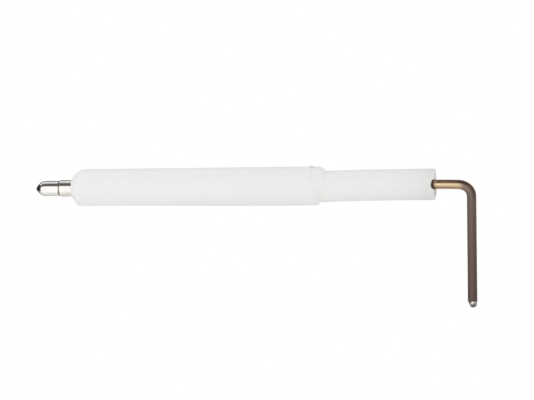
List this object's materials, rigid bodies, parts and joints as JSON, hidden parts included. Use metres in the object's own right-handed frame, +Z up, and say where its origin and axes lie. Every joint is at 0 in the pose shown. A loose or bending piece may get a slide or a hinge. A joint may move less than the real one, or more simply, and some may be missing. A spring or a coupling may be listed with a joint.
{
  "type": "flame sensor probe",
  "caption": "Stepped white ceramic burner probe with a round push-on terminal at the rear and a bent heat-tinted sensing rod with a bare ground tip.",
  "frame": {"origin": "on the probe's axis, at the middle of the cylindrical 10 mm land that a burner bracket grips", "axes": "+X along the probe towards the sensing end, with the terminal at -X; +Z up, so the sensing leg hangs down along -Z; the notch in the front rim faces -Y"},
  "size_m": [0.115, 0.0104, 0.0366],
  "materials": {
    "insulator_ceramic": "satin",
    "rod_alloy": "satin",
    "terminal_plating": "polished",
    "braze_metal": "satin",
    "potting_cement": "matte"
  },
  "bodies": {
    "root": {"insulator": "insulator_ceramic", "electrode_rod": "rod_alloy", "terminal_pin": "terminal_plating", "terminal_braze": "braze_metal", "rear_cement": "potting_cement"}
  },
  "joints": []
}
